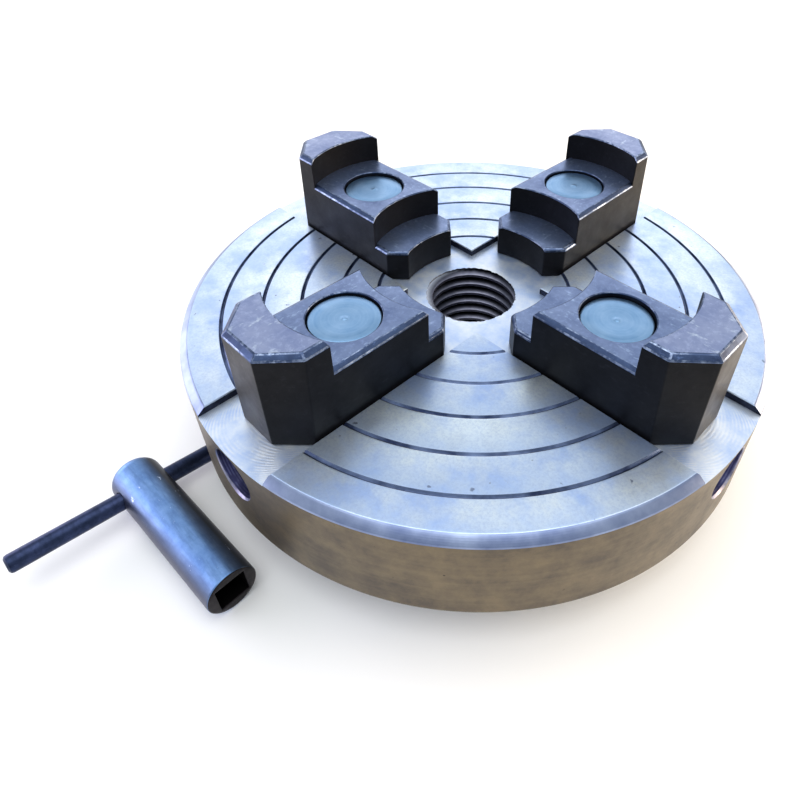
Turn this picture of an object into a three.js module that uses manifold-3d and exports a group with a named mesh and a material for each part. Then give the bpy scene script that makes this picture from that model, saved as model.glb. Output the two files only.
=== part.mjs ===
// A 150 mm light-duty four-jaw independent lathe chuck, standing on its threaded hub, with its
// square-socket key lying beside it. Millimetres, +Z along the spindle axis towards the chuck's face.
// The origin is the centre of the hub's back face, where the chuck meets the spindle's shoulder.
import * as THREE from "three";
import { mergeVertices } from "three/addons/utils/BufferGeometryUtils.js";
import Module from "manifold-3d";

const wasm = await Module();
wasm.setup();

// The cast body: a flat disc on a short hub.
const bodyRadius = 75;
const bodyThickness = 26;
const rimChamfer = 1.9;
const rimChamferHeight = 1.4;
const backChamfer = 1;
const hubRadius = 19;
const hubHeight = 12;
const hubChamfer = 0.8;
const boreRadius = 11.2; // the crests of a 1 inch, 8 per inch spindle thread
const boreChamfer = 1.4;
const grooveRadii = [25.4, 35.2, 45.2, 55.1, 65.1];
const grooveHalfWidth = 0.5;
const grooveDepth = 0.6;
const bodySides = 60;

const bodyBack = hubHeight;
const faceHeight = hubHeight + bodyThickness;

// Each jaw rides in a shallow channel across the face and is held by a post through a slot in its floor.
const channelWidth = 25;
const channelDepth = 1.85;
const floorHeight = faceHeight - channelDepth;
const postNearest = 31.4; // the post's distance from the spindle axis, at the ends of the jaw's travel
const postFarthest = 50.7;
const slotWidth = 14.4;
const pocketWidth = 19.2;
const pocketDepth = 8; // a wider slot from the back, for the post's washer and nut
const pocketTop = bodyBack + pocketDepth;

// The lead screw lies under the channel and is reached through a hole in the rim.
const screwHeight = hubHeight + 16.8;
const screwRadius = 4.5;
const screwClearance = 0.2;
const keyHoleRadius = 6.3;
const collarRadius = 6;
const journalRadius = 3;
const journalLength = 3;
const neckRadius = 3.5;
const driveSquare = 6.6;
const driveLength = 5.3;
const collarLength = 2.2;
const headLength = 1.8;
const roundSides = 16;

const slotInnerEnd = postNearest - slotWidth / 2;
const slotOuterEnd = postFarthest + slotWidth / 2;
const threadStart = slotInnerEnd + 0.3;
const threadEnd = slotOuterEnd + 1.4;
const neckStart = threadEnd + collarLength;
const forkThickness = 3;
const neckLength = forkThickness + 0.4;
const driveStart = neckStart + neckLength + headLength;

// A U-shaped fork is driven in from the back and holds the screw by its neck.
const forkWidth = 13;
const forkReach = 2.6; // how far its two legs pass the screw's centre
const forkBack = bodyBack + 0.6;
const forkGap = 0.2;

// The stepped jaws, measured outwards from the inner end.
const jawHalfWidth = 12;
const jawLength = 47.9;
const jawClearance = 0.1;
const noseHalfWidth = 8.2;
const noseChamfer = 4.3;
const tailHalfWidth = 5.3;
const tailChamferStart = 41.5;
const gripRadius = 24; // of the concave end and risers
const riserStarts = [0, 8.8, 34.6];
const stepHeights = [7.2, 15.2, 22.9]; // above the chuck's face
const arcSteps = 6;

// The post: a turned head sunk in the jaw's middle step, a shank crossed by the screw, and a stud end.
const postOffset = 22.8; // from the jaw's inner end
const headHoleRadius = 8.4;
const headRadius = 8.15;
const headFloor = 6; // the jaw's metal under the head
const shankRadius = 7;
const shankHoleRadius = 7.2;
const studRadius = 4;
const studEnd = bodyBack + 0.9;
const washerRadius = 9.2;
const washerThickness = 1.6;
const nutAcrossFlats = 13;
const nutThickness = 4.8;
const nutHoleRadius = studRadius + 0.2;

// Where each jaw stands: its number, its direction round the axis, its inner end's distance, and how
// deep its post's head sits in its hole.
const jawPlaces = [
  { number: 1, degrees: 0, inner: 19.4, recess: 1.0 },
  { number: 2, degrees: 90, inner: 18.9, recess: 0.6 },
  { number: 3, degrees: 180, inner: 16.7, recess: 0.9 },
  { number: 4, degrees: 270, inner: 19.05, recess: 0.6 },
];

// The key: a round head with a square socket, and a bar fixed through its closed end.
const keyRadius = 6.05;
const keyLength = 45.6;
const keyDome = 2.6;
const keySquare = 7;
const keySocketDepth = 14;
const barRadius = 2.2;
const barHoleRadius = 2.4;
const barHalfLength = 31.2;
const barOffset = 6.8; // from the key's closed end
const barChamfer = 0.5;
const keyPlace = { x: -29.9, y: -86.7, degrees: 2 };

// A closed geometry becomes a solid that can be cut and joined.
function toSolid(geometry) {
  const bare = geometry.clone();
  bare.deleteAttribute("normal");
  bare.deleteAttribute("uv");
  const merged = mergeVertices(bare, 1e-4);
  return new wasm.Manifold(
    new wasm.Mesh({
      numProp: 3,
      vertProperties: new Float32Array(merged.attributes.position.array),
      triVerts: new Uint32Array(merged.index.array),
    }),
  );
}

function toGeometry(solid) {
  const mesh = solid.getMesh();
  const geometry = new THREE.BufferGeometry();
  geometry.setAttribute("position", new THREE.BufferAttribute(mesh.vertProperties, 3));
  geometry.setIndex(new THREE.BufferAttribute(mesh.triVerts, 1));
  geometry.computeVertexNormals();
  return geometry;
}

// A solid of revolution about Z. The profile's [radius, height] points run anticlockwise.
function turned(profile, sides) {
  const points = profile.map(([radius, height]) => new THREE.Vector2(radius, height));
  return new THREE.LatheGeometry(points, sides).rotateX(Math.PI / 2);
}

// The same about X, with [radius, x] points, lying at the height of the screw's axis.
function turnedAlongX(profile, sides) {
  return turned(profile, sides).rotateY(Math.PI / 2).translate(0, 0, screwHeight);
}

function block([x0, x1], [y0, y1], [z0, z1]) {
  return new THREE.BoxGeometry(x1 - x0, y1 - y0, z1 - z0).translate(
    (x0 + x1) / 2,
    (y0 + y1) / 2,
    (z0 + z1) / 2,
  );
}

function rod(radius, [z0, z1], x, sides) {
  return new THREE.CylinderGeometry(radius, radius, z1 - z0, sides)
    .rotateX(Math.PI / 2)
    .translate(x, 0, (z0 + z1) / 2);
}

function rodAlongX(radius, [x0, x1], sides) {
  return new THREE.CylinderGeometry(radius, radius, x1 - x0, sides)
    .rotateZ(Math.PI / 2)
    .translate((x0 + x1) / 2, 0, screwHeight);
}

function prism(shape, [z0, z1]) {
  return new THREE.ExtrudeGeometry(shape, {
    depth: z1 - z0,
    bevelEnabled: false,
    curveSegments: arcSteps,
  }).translate(0, 0, z0);
}

// A round-ended slot along X, whose end arcs are centred at the two ends of the post's travel.
function slotShape(width) {
  const shape = new THREE.Shape();
  shape.absarc(postFarthest, 0, width / 2, -Math.PI / 2, Math.PI / 2, false);
  shape.absarc(postNearest, 0, width / 2, Math.PI / 2, Math.PI * 1.5, false);
  return shape;
}

function bodyProfile() {
  const grooves = [...grooveRadii]
    .reverse()
    .flatMap((radius) => [
      [radius + grooveHalfWidth, faceHeight],
      [radius, faceHeight - grooveDepth],
      [radius - grooveHalfWidth, faceHeight],
    ]);
  return [
    [boreRadius + boreChamfer, 0],
    [hubRadius - hubChamfer, 0],
    [hubRadius, hubChamfer],
    [hubRadius, bodyBack],
    [bodyRadius - backChamfer, bodyBack],
    [bodyRadius, bodyBack + backChamfer],
    [bodyRadius, faceHeight - rimChamferHeight],
    [bodyRadius - rimChamfer, faceHeight],
    ...grooves,
    [boreRadius, faceHeight],
    [boreRadius, boreChamfer],
    [boreRadius + boreChamfer, 0],
  ];
}

// Everything that is cut from the body for the jaw that lies along +X.
function stationCuts() {
  const beyondRim = bodyRadius + 2;
  const forkSpace = forkThickness / 2 + forkGap;
  const forkCentre = neckStart + neckLength / 2;
  const forkTop = screwHeight + forkReach + 0.4;
  return [
    block([0, beyondRim], [-channelWidth / 2, channelWidth / 2], [floorHeight, faceHeight + 2]),
    prism(slotShape(slotWidth), [pocketTop - 1, floorHeight + 1]),
    prism(slotShape(pocketWidth), [bodyBack - 1, pocketTop]),
    rodAlongX(keyHoleRadius, [slotOuterEnd - 3, beyondRim], roundSides),
    rodAlongX(screwRadius + screwClearance, [slotInnerEnd, postNearest], roundSides),
    rodAlongX(journalRadius + 0.2, [slotInnerEnd - journalLength - 0.2, slotInnerEnd + 2], roundSides),
    block(
      [forkCentre - forkSpace, forkCentre + forkSpace],
      [-forkWidth / 2 - forkGap, forkWidth / 2 + forkGap],
      [bodyBack - 1, forkTop],
    ),
  ];
}

function chuckBody() {
  let body = toSolid(turned(bodyProfile(), bodySides));
  for (const { degrees } of jawPlaces) {
    for (const cut of stationCuts()) {
      body = body.subtract(toSolid(cut).rotate([0, 0, degrees]));
    }
  }
  return toGeometry(body);
}

// The plan of one level of the jaw: a concave inner edge at frontX, and chamfered outer corners.
function jawShape(frontX, halfWidth) {
  const centreX = frontX - Math.sqrt(gripRadius ** 2 - halfWidth ** 2);
  const halfAngle = Math.asin(halfWidth / gripRadius);
  const shape = new THREE.Shape();
  shape.absarc(centreX, 0, gripRadius, halfAngle, -halfAngle, true);
  if (halfWidth < jawHalfWidth) shape.lineTo(frontX + noseChamfer, -jawHalfWidth);
  shape.lineTo(tailChamferStart, -jawHalfWidth);
  shape.lineTo(jawLength, -tailHalfWidth);
  shape.lineTo(jawLength, tailHalfWidth);
  shape.lineTo(tailChamferStart, jawHalfWidth);
  if (halfWidth < jawHalfWidth) shape.lineTo(frontX + noseChamfer, jawHalfWidth);
  shape.closePath();
  return shape;
}

function jaw() {
  const base = floorHeight + jawClearance;
  const edges = [noseHalfWidth, jawHalfWidth, jawHalfWidth];
  const levels = riserStarts.map((front, i) =>
    toSolid(prism(jawShape(front, edges[i]), [base, faceHeight + stepHeights[i]])),
  );
  const shankHole = rod(shankHoleRadius, [base - 1, base + headFloor + 1], postOffset, roundSides);
  const headHole = rod(
    headHoleRadius,
    [base + headFloor, faceHeight + stepHeights[1] + 1],
    postOffset,
    roundSides * 2,
  );
  return toGeometry(
    levels[0].add(levels[1]).add(levels[2]).subtract(toSolid(shankHole)).subtract(toSolid(headHole)),
  );
}

// The post stands on its own axis; the screw's clearance hole crosses it along X.
function jawPost(recess) {
  const headBase = floorHeight + jawClearance + headFloor + 0.1;
  const headTop = faceHeight + stepHeights[1] - recess;
  const shankBase = pocketTop + 0.1;
  const profile = [
    [0, studEnd],
    [studRadius - 0.5, studEnd],
    [studRadius, studEnd + 0.5],
    [studRadius, shankBase],
    [shankRadius, shankBase],
    [shankRadius, headBase],
    [headRadius, headBase],
    [headRadius, headTop],
    [0, headTop],
  ];
  const crossHole = rodAlongX(screwRadius + screwClearance, [-headRadius, headRadius], roundSides);
  return toGeometry(toSolid(turned(profile, roundSides)).subtract(toSolid(crossHole)));
}

function clampWasher() {
  const top = pocketTop - 0.1;
  const bottom = top - washerThickness;
  return turned(
    [
      [nutHoleRadius, bottom],
      [washerRadius, bottom],
      [washerRadius, top],
      [nutHoleRadius, top],
      [nutHoleRadius, bottom],
    ],
    roundSides,
  );
}

function clampNut() {
  const top = pocketTop - 0.2 - washerThickness;
  const cornerRadius = nutAcrossFlats / 2 / Math.cos(Math.PI / 6);
  const hexagon = rod(cornerRadius, [top - nutThickness, top], 0, 6);
  const hole = rod(nutHoleRadius, [top - nutThickness - 1, top + 1], 0, roundSides);
  return toGeometry(toSolid(hexagon).subtract(toSolid(hole)));
}

function leadScrew() {
  const neckEnd = neckStart + neckLength;
  const profile = [
    [0, slotInnerEnd - journalLength],
    [journalRadius, slotInnerEnd - journalLength],
    [journalRadius, threadStart],
    [screwRadius - 1, threadStart],
    [screwRadius, threadStart + 1],
    [screwRadius, threadEnd],
    [collarRadius, threadEnd],
    [collarRadius, neckStart],
    [neckRadius, neckStart],
    [neckRadius, neckEnd],
    [collarRadius, neckEnd],
    [collarRadius, driveStart],
    [0, driveStart],
  ];
  const half = driveSquare / 2;
  const drive = block(
    [driveStart - 1, driveStart + driveLength],
    [-half, half],
    [screwHeight - half, screwHeight + half],
  );
  return toGeometry(toSolid(turnedAlongX(profile, roundSides)).add(toSolid(drive)));
}

function thrustFork() {
  const centre = neckStart + neckLength / 2;
  const sides = [centre - forkThickness / 2, centre + forkThickness / 2];
  const mouth = neckRadius + forkGap;
  const plate = block(sides, [-forkWidth / 2, forkWidth / 2], [forkBack, screwHeight + forkReach]);
  const mouthTop = block([sides[0] - 1, sides[1] + 1], [-mouth, mouth], [screwHeight, screwHeight + 9]);
  const mouthEnd = rodAlongX(mouth, [sides[0] - 1, sides[1] + 1], roundSides);
  return toGeometry(toSolid(plate).subtract(toSolid(mouthTop)).subtract(toSolid(mouthEnd)));
}

// The key's socket lies along its own X axis from the domed closed end to the open square end.
function keySocket() {
  const dome = [0, 1, 2, 3].map((i) => {
    const angle = (i / 3) * (Math.PI / 2);
    return [keyRadius - keyDome * (1 - Math.sin(angle)), keyDome * (1 - Math.cos(angle))];
  });
  const profile = [[0, 0], ...dome, [keyRadius, keyLength - 0.4], [keyRadius - 0.4, keyLength], [0, keyLength]];
  const half = keySquare / 2;
  const head = toSolid(turned(profile, roundSides * 2).rotateY(Math.PI / 2));
  const square = toSolid(block([keyLength - keySocketDepth, keyLength + 1], [-half, half], [-half, half]));
  const barHole = new THREE.CylinderGeometry(barHoleRadius, barHoleRadius, keyRadius * 3, roundSides)
    .translate(barOffset, 0, 0)
    .rotateX(barTilt);
  return toGeometry(head.subtract(square).subtract(toSolid(barHole)));
}

function keyBar() {
  const profile = [
    [0, -barHalfLength],
    [barRadius - barChamfer, -barHalfLength],
    [barRadius, -barHalfLength + barChamfer],
    [barRadius, barHalfLength - barChamfer],
    [barRadius - barChamfer, barHalfLength],
    [0, barHalfLength],
  ];
  return turned(profile, roundSides)
    .rotateX(-Math.PI / 2)
    .translate(barOffset, 0, 0)
    .rotateX(barTilt);
}

// The key rolls until the far end of its bar rests on the table.
const barTilt = -Math.asin((keyRadius - barRadius) / barHalfLength);

const finishes = {
  castBody: { color: 0xaab4c4, roughness: 0.35, metalness: 0.9 },
  blackOxide: { color: 0x22242c, roughness: 0.45, metalness: 0.7 },
  turnedSteel: { color: 0x8fa6c0, roughness: 0.3, metalness: 0.95 },
  plainSteel: { color: 0x70747c, roughness: 0.4, metalness: 0.9 },
  bluedSteel: { color: 0x4a5c80, roughness: 0.35, metalness: 0.85 },
};

function piece(name, geometry, finish) {
  const mesh = new THREE.Mesh(geometry, new THREE.MeshStandardMaterial(finishes[finish]));
  mesh.name = name;
  return mesh;
}

// What slides with one jaw. The jaw's own X runs outwards from its inner end.
function jawGroup(number, inner, recess) {
  const group = new THREE.Group();
  group.position.x = inner;
  group.add(piece(`jaw_${number}`, jaw(), "blackOxide"));
  const column = new THREE.Group();
  column.position.x = postOffset;
  column.add(piece(`jaw_post_${number}`, jawPost(recess), "turnedSteel"));
  column.add(piece(`clamp_washer_${number}`, clampWasher(), "plainSteel"));
  column.add(piece(`clamp_nut_${number}`, clampNut(), "plainSteel"));
  group.add(column);
  return group;
}

function station({ number, degrees, inner, recess }) {
  const group = new THREE.Group();
  group.rotation.z = THREE.MathUtils.degToRad(degrees);
  group.add(jawGroup(number, inner, recess));
  group.add(piece(`lead_screw_${number}`, leadScrew(), "plainSteel"));
  group.add(piece(`thrust_fork_${number}`, thrustFork(), "plainSteel"));
  return group;
}

function key() {
  const group = new THREE.Group();
  group.position.set(keyPlace.x, keyPlace.y, keyRadius);
  group.rotation.z = THREE.MathUtils.degToRad(keyPlace.degrees);
  const centred = new THREE.Group();
  centred.position.x = -barOffset;
  centred.add(piece("key_socket", keySocket(), "bluedSteel"));
  centred.add(piece("key_bar", keyBar(), "bluedSteel"));
  group.add(centred);
  return group;
}

const chuck = new THREE.Group();
chuck.add(piece("chuck_body", chuckBody(), "castBody"));
for (const place of jawPlaces) chuck.add(station(place));
chuck.add(key());

export default chuck;
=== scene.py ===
"""The looks of the four-jaw lathe chuck and its key: detailed meshes, procedural finishes, camera and light.

Lengths are in metres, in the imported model's frame: +Z up along the spindle axis, jaw 1 along +X.
"""
import math

import bmesh
import bpy
from mathutils import Matrix, Vector, noise


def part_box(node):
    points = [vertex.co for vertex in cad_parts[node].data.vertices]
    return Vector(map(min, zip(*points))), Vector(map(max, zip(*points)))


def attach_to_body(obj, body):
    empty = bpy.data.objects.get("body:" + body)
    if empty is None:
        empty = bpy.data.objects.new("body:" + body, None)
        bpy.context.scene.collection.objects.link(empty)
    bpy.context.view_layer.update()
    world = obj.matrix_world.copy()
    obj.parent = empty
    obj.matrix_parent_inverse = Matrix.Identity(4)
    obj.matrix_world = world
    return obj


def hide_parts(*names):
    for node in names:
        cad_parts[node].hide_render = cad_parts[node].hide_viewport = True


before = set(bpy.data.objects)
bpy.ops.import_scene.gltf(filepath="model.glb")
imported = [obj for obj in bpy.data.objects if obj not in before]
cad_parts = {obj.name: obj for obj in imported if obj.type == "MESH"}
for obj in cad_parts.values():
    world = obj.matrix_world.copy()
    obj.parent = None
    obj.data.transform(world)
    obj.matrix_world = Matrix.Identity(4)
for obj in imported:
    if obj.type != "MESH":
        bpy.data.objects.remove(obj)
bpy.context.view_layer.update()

MM = 0.001
UP = Vector((0, 0, 1))
WELD_DISTANCE = 1e-6

# The body, from its CAD node and the chuck's own driving dimensions.
body_low, body_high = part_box("chuck_body")
BODY_RADIUS = body_high.x
FACE = body_high.z
BACK = 12 * MM
HUB_RADIUS = 19 * MM
CHANNEL_HALF_WIDTH = 12.5 * MM
FLOOR = FACE - 1.85 * MM
GROOVE_RADII = [25.4 * MM, 35.2 * MM, 45.2 * MM, 55.1 * MM, 65.1 * MM]
BODY_SIDES = 256
HUB_CHAMFER = 0.8 * MM
LOWER_ROUND = 1.0 * MM

# The spindle thread: 1 inch, 8 per inch.
THREAD_PITCH = 25.4 / 8 * MM
THREAD_ROOT = 12.7 * MM
THREAD_CREST = 11.15 * MM
SLEEVE_RADIUS = 13 * MM
BORE_CHAMFER = 1.4 * MM
TORN_BAND = 0.5 * MM
TORN_DEPTH = 0.36 * MM

# Any thread's form, as shares of its pitch.
CREST_FLAT = 0.25
ROOT_FLAT = 0.125
FLANK = (1 - ROOT_FLAT - CREST_FLAT) / 2

# The slot and pocket under each jaw, and the lead screw below it with its fork and its hole in the rim.
POST_NEAREST = 31.4 * MM
POST_FARTHEST = 50.7 * MM
SLOT_WIDTH = 14.4 * MM
POCKET_WIDTH = 19.2 * MM
POCKET_TOP = BACK + 8 * MM
SCREW_HEIGHT = BACK + 16.8 * MM
SCREW_RADIUS = 4.5 * MM
SCREW_PITCH = 2 * MM
SCREW_THREAD_DEPTH = 1.1 * MM
JOURNAL_RADIUS = 3 * MM
COLLAR_RADIUS = 6 * MM
COLLAR_LENGTH = 2.2 * MM
NECK_RADIUS = 3.5 * MM
NECK_LENGTH = 3.4 * MM
FLANGE_LENGTH = 1.8 * MM
DRIVE_HALF_WIDTH = 3.3 * MM
SCREW_END_CHAMFER = 0.4 * MM
FORK_MOUTH_RADIUS = 3.7 * MM
KEY_HOLE_RADIUS = 6.3 * MM
KEY_HOLE_CHAMFER = 1.6 * MM
RUNNING_GAP = 0.2 * MM

# The jaws, measured outwards from their inner ends. The lower two levels run on inside the tall one.
JAW_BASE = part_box("jaw_1")[0].z
JAW_HALF_WIDTH = 12 * MM
JAW_LENGTH = 47.9 * MM
NOSE_HALF_WIDTH = 8.2 * MM
NOSE_CHAMFER = 4.3 * MM
TAIL_HALF_WIDTH = 5.3 * MM
TAIL_CHAMFER_LOW = 41.5 * MM
TAIL_CHAMFER_HIGH = 40.5 * MM
GRIP_RADIUS = 24 * MM
GRIP_STEPS = 20
RISERS = [0, 8.8 * MM, 34.6 * MM]
STEPS = [FACE + 7.2 * MM, FACE + 15.2 * MM, FACE + 22.9 * MM]
LEVEL_OVERLAP = 38 * MM
JAW_EDGE_WEAR = 0.28 * MM

# Each level of a jaw: start, half width there, top, the top bevel across and down, and end if cut short.
JAW_LEVELS = {
    "level": (RISERS[2], JAW_HALF_WIDTH, STEPS[2], 1.3 * MM, 1.0 * MM, None),
    "middle": (RISERS[1], JAW_HALF_WIDTH, STEPS[1], 1.2 * MM, 0.8 * MM, LEVEL_OVERLAP),
    "nose": (RISERS[0], NOSE_HALF_WIDTH, STEPS[0], 0.8 * MM, 0.6 * MM, LEVEL_OVERLAP),
}

# The jaws' numbers, and their degrees round from +X.
JAWS = {1: 0, 2: 90, 3: 180, 4: 270}

# The post through each jaw, its washer and its nut.
POST_OFFSET = 22.8 * MM
HEAD_RADIUS = 8.15 * MM
HEAD_HOLE_RADIUS = 8.4 * MM
HEAD_SEAT = JAW_BASE + 6 * MM
SHANK_RADIUS = 7.0 * MM
SHANK_HOLE_RADIUS = 7.2 * MM
STUD_RADIUS = 4.0 * MM
STUD_HOLE_RADIUS = 4.2 * MM
NUT_HALF_WIDTH = 6.5 * MM
NUT_CHAMFER = 0.9 * MM

# The key.
KEY_ANGLE = math.radians(2)
KEY_LENGTH = 45.6 * MM
KEY_SQUARE = 7 * MM
KEY_SOCKET_DEPTH = 14 * MM
BAR_RADIUS = 2.2 * MM
BAR_OFFSET = 6.8 * MM
BAR_HALF_LENGTH = 31.2 * MM
DOME_RADIUS = 3.0 * MM

# Sides of the smaller turned pieces.
LARGE_SIDES = 96
NUT_SIDES = 72
MEDIUM_SIDES = 64
SMALL_SIDES = 48
SEAT_SIDES = 32

# The camera: degrees round from -Y towards +X, degrees up, and where it aims.
CAMERA_AZIMUTH = 44.19
CAMERA_ELEVATION = 39.43
CAMERA_ROLL = 0.46
CAMERA_DISTANCE = 166.5 * MM
CAMERA_AIM = (2.4 * MM, -10.8 * MM, FACE)
CAMERA_LENS = 29.3
CAMERA_SHIFT = (-0.065, -0.112)

# The surroundings, and the soft boxes in them: degrees round from the camera's side, positive to its right,
# then distance, height, size, radiance and colour.
SKY_COLOUR = (0.88, 0.955, 1.0, 1)
SKY_STRENGTH = 0.68
SOFT_BOXES = {
    "behind": (-163, 0.62, 0.31, (1.2, 0.42), 0.84, (1.0, 0.95, 0.97)),
    "behind_right": (140, 0.58, 0.36, (0.5, 0.42), 0.38, (0.98, 0.97, 1.0)),
    "overhead": (0, 0.15, 1.0, (0.95, 0.95), 1.85, (1.0, 1.0, 1.0)),
    "left": (-95, 0.4, 0.12, (0.4, 0.24), 3.2, (0.95, 0.86, 1.0)),
    "warm": (98, 0.36, 0.09, (0.3, 0.18), 10.0, (1.0, 0.74, 0.45)),
}
FLOOR_DROP = 0.2 * MM


# ---- finishes

class Finish:
    """A material in the making. Its textures follow the piece's own coordinates, in metres."""

    def __init__(self, name, metallic, roughness):
        self.material = bpy.data.materials.new(name)
        self.material.use_nodes = True
        self.tree = self.material.node_tree
        self.shader = self.tree.nodes["Principled BSDF"]
        self.shader.inputs["Metallic"].default_value = metallic
        self.shader.inputs["Roughness"].default_value = roughness
        self.place = self.node("ShaderNodeTexCoord").outputs["Object"]
        self.heights = []

    def node(self, kind, settings=None, **inputs):
        made = self.tree.nodes.new(kind)
        for key, value in (settings or {}).items():
            setattr(made, key, value)
        for key, value in inputs.items():
            self.feed(made.inputs[key.replace("_", " ")], value)
        return made

    def feed(self, socket, value):
        if isinstance(value, bpy.types.NodeSocket):
            self.tree.links.new(value, socket)
        else:
            socket.default_value = value

    def math(self, operation, a, b=0.0):
        made = self.tree.nodes.new("ShaderNodeMath")
        made.operation = operation
        self.feed(made.inputs[0], a)
        self.feed(made.inputs[1], b)
        return made.outputs[0]

    def stretched(self, x, y, z):
        return self.node("ShaderNodeMapping", Vector=self.place, Scale=(x, y, z)).outputs["Vector"]

    def noise(self, size, detail=4.0, roughness=0.55, vector=None):
        """Soft noise from 0 to 1 whose blotches are about size metres across."""
        made = self.node(
            "ShaderNodeTexNoise",
            Vector=vector or self.place,
            Scale=1 / size,
            Detail=detail,
            Roughness=roughness,
        )
        return made.outputs["Fac"]

    def band(self, value, low, high, bottom=0.0, top=1.0):
        """Spreads low..high of a value over bottom..top."""
        made = self.node(
            "ShaderNodeMapRange",
            Value=value,
            From_Min=low,
            From_Max=high,
            To_Min=bottom,
            To_Max=top,
        )
        return made.outputs["Result"]

    def axes(self):
        made = self.node("ShaderNodeSeparateXYZ", Vector=self.place)
        return made.outputs["X"], made.outputs["Y"], made.outputs["Z"]

    def radius(self):
        """Distance from the piece's Z axis."""
        x, y, _ = self.axes()
        return self.math("SQRT", self.math("ADD", self.math("MULTIPLY", x, x), self.math("MULTIPLY", y, y)))

    def waves(self, value, pitch):
        """A sine of the value from 0 to 1, one wave for each pitch."""
        turns = self.math("MULTIPLY", value, 2 * math.pi / pitch)
        return self.band(self.math("SINE", turns), -1, 1)

    def mix(self, factor, a, b):
        made = self.node("ShaderNodeMix", {"data_type": "RGBA"})
        self.feed(made.inputs["Factor"], factor)
        self.feed(made.inputs["A"], (*a, 1) if isinstance(a, tuple) else a)
        self.feed(made.inputs["B"], (*b, 1) if isinstance(b, tuple) else b)
        return made.outputs["Result"]

    def colour(self, value):
        self.feed(self.shader.inputs["Base Color"], (*value, 1) if isinstance(value, tuple) else value)

    def patches(self, size, dark, light, detail=4.0, roughness=0.55, low=0.35, high=0.7):
        """Gives the surface soft patches of two colours, about size metres across."""
        share = self.band(self.noise(size, detail, roughness), low, high)
        self.colour(self.mix(share, dark, light))

    def roughness(self, value):
        self.feed(self.shader.inputs["Roughness"], value)

    def relief(self, height, depth):
        """Adds a layer of relief, depth metres high."""
        self.heights.append(self.math("MULTIPLY", height, depth))

    def done(self):
        if self.heights:
            total = self.heights[0]
            for height in self.heights[1:]:
                total = self.math("ADD", total, height)
            bump = self.node("ShaderNodeBump", Height=total, Distance=1.0, Strength=1.0)
            self.tree.links.new(bump.outputs["Normal"], self.shader.inputs["Normal"])
        return self.material


def specks(finish, size, amount):
    """Sparse spots, 1 where there is a spot."""
    return finish.band(finish.noise(size, 2.0, 0.4), 1 - amount, 1 - amount * 0.8)


def patchy(name, metallic, roughness, patches, grain):
    """A plain finish: patches of two colours under a fine grain, which is (size, depth)."""
    finish = Finish(name, metallic, roughness)
    finish.patches(*patches)
    finish.relief(finish.noise(grain[0]), grain[1])
    return finish.done()


def ground_face():
    """The bright turned and ground face: blue stains over silver, with fine rings, grain and small pits.

    Each land between two ring grooves is bright near its inner groove and bluer towards its outer one."""
    finish = Finish("ground_face", 0.9, 0.34)
    spacing = (GROOVE_RADII[-1] - GROOVE_RADII[0]) / (len(GROOVE_RADII) - 1)
    laps = finish.math("DIVIDE", finish.math("SUBTRACT", finish.radius(), GROOVE_RADII[0]), spacing)
    outer = finish.band(finish.math("FRACT", finish.math("ADD", laps, 10)), 0.35, 1.0, 0.0, 0.6)
    stains = finish.band(finish.noise(20 * MM, 5.0, 0.6), 0.38, 0.60)
    clouds = finish.band(finish.noise(5 * MM, 6.0, 0.7), 0.3, 0.7)
    grain = finish.noise(0.6 * MM, 4.0, 0.75)
    base = finish.mix(stains, (0.40, 0.55, 0.89), (0.79, 0.90, 1.0))
    base = finish.mix(finish.math("MULTIPLY", clouds, 0.35), base, (0.90, 0.95, 1.0))
    base = finish.mix(outer, base, (0.46, 0.61, 0.90))
    base = finish.mix(finish.band(grain, 0.42, 0.7, 0.0, 0.4), base, (0.33, 0.44, 0.70))
    base = finish.mix(specks(finish, 1.9 * MM, 0.27), base, (0.22, 0.27, 0.40))
    finish.colour(base)
    finish.roughness(finish.band(clouds, 0, 1, 0.38, 0.28))
    finish.relief(finish.waves(finish.radius(), 0.42 * MM), 0.002 * MM)
    finish.relief(grain, 0.005 * MM)
    finish.relief(finish.noise(1.6 * MM, 3.0, 0.6), 0.010 * MM)
    return finish.done()


def turned_rim():
    """The rim: brown-grey turned iron with soft bands, blotches and a few nicks. Its dark brown-gold base is
    partly painted: a painted warm reflection, and painted shade that keeps the side dark.
    """
    finish = Finish("turned_rim", 0.9, 0.42)
    _, _, z = finish.axes()
    blotches = finish.band(finish.noise(11 * MM, 7.0, 0.72), 0.36, 0.64)
    bands = finish.noise(1.1 * MM, 3.0, 0.6, finish.stretched(0.03, 0.03, 1.0))
    # Partly painted: the dark brown-gold tone holds a painted warm reflection and painted shade.
    base = finish.mix(blotches, (0.104, 0.085, 0.068), (0.190, 0.146, 0.088))
    base = finish.mix(finish.band(bands, 0.4, 0.7, 0.0, 0.22), base, (0.26, 0.205, 0.125))
    base = finish.mix(specks(finish, 2.2 * MM, 0.26), base, (0.03, 0.025, 0.02))
    finish.colour(base)
    finish.roughness(finish.band(blotches, 0, 1, 0.48, 0.38))
    finish.relief(finish.waves(z, 0.5 * MM), 0.003 * MM)
    finish.relief(bands, 0.015 * MM)
    finish.relief(finish.noise(0.5 * MM), 0.008 * MM)
    return finish.done()


def rim_chamfer():
    finish = Finish("rim_chamfer", 0.9, 0.32)
    finish.patches(26 * MM, (0.13, 0.17, 0.31), (0.36, 0.43, 0.61), 6.0, 0.6, 0.38, 0.62)
    finish.relief(finish.waves(finish.radius(), 0.35 * MM), 0.003 * MM)
    finish.relief(finish.noise(1.2 * MM), 0.01 * MM)
    return finish.done()


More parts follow.
